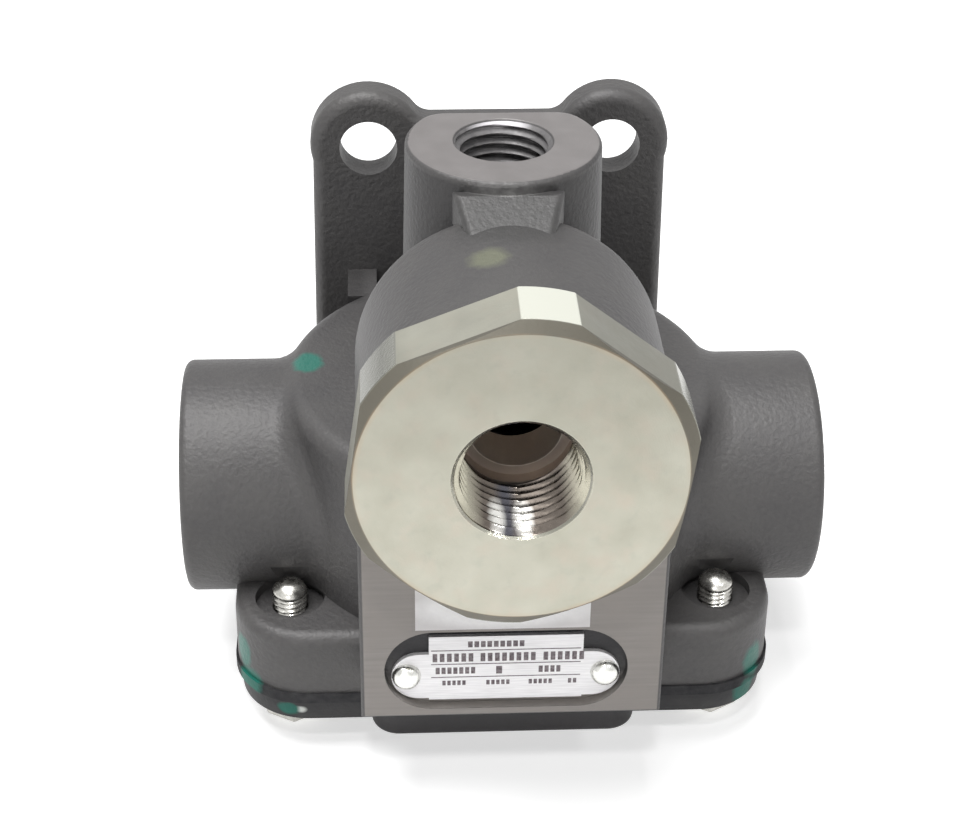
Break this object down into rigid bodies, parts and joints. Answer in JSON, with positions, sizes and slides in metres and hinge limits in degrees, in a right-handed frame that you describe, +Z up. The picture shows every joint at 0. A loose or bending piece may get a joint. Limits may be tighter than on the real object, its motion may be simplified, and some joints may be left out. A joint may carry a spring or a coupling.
{
  "type": "quick release valve",
  "caption": "Vehicle air brake quick release valve with a double check valve: cast body, hexagon inlet adapter, threaded top and side ports, rear mounting plate and a screwed bottom cover.",
  "frame": {"origin": "centre of the exhaust mouth, on the plane the exhaust boss stands on", "axes": "+X to the right across the two delivery ports, +Y from the hexagon inlet back to the mounting plate, +Z up through the top port"},
  "size_m": [0.09, 0.082, 0.0825],
  "materials": {
    "cast_body": "as cast",
    "adapter": "turned, yellow passivated",
    "cover": "as cast",
    "gasket": "matt",
    "rubber": "matt",
    "shuttle": "turned",
    "screw": "bright zinc",
    "plate": "satin",
    "pin": "bright",
    "label": "printed white film"
  },
  "bodies": {
    "housing": {"valve_body": "cast_body", "inlet_adapter": "adapter", "adapter_seal": "rubber", "cover_gasket": "gasket", "bottom_cover": "cover", "type_plate": "plate", "plate_pin_left": "pin", "plate_pin_right": "pin", "block_label": "label", "cover_screw_front_left": "screw", "cover_screw_front_right": "screw", "cover_screw_rear_left": "screw", "cover_screw_rear_right": "screw", "lock_washer_front_left": "screw", "lock_washer_front_right": "screw", "lock_washer_rear_left": "screw", "lock_washer_rear_right": "screw"},
    "check_shuttle": {"shuttle": "shuttle", "shuttle_facing_front": "rubber", "shuttle_facing_rear": "rubber"},
    "diaphragm": {"release_diaphragm": "rubber"}
  },
  "joints": [
    {"name": "shuttle_slide", "type": "slide", "parent": "housing", "child": "check_shuttle", "axis": [0, -1, 0], "range_m": [0, 0.0062]},
    {"name": "diaphragm_lift", "type": "slide", "parent": "housing", "child": "diaphragm", "axis": [0, 0, 1], "range_m": [0, 0.0029]}
  ]
}
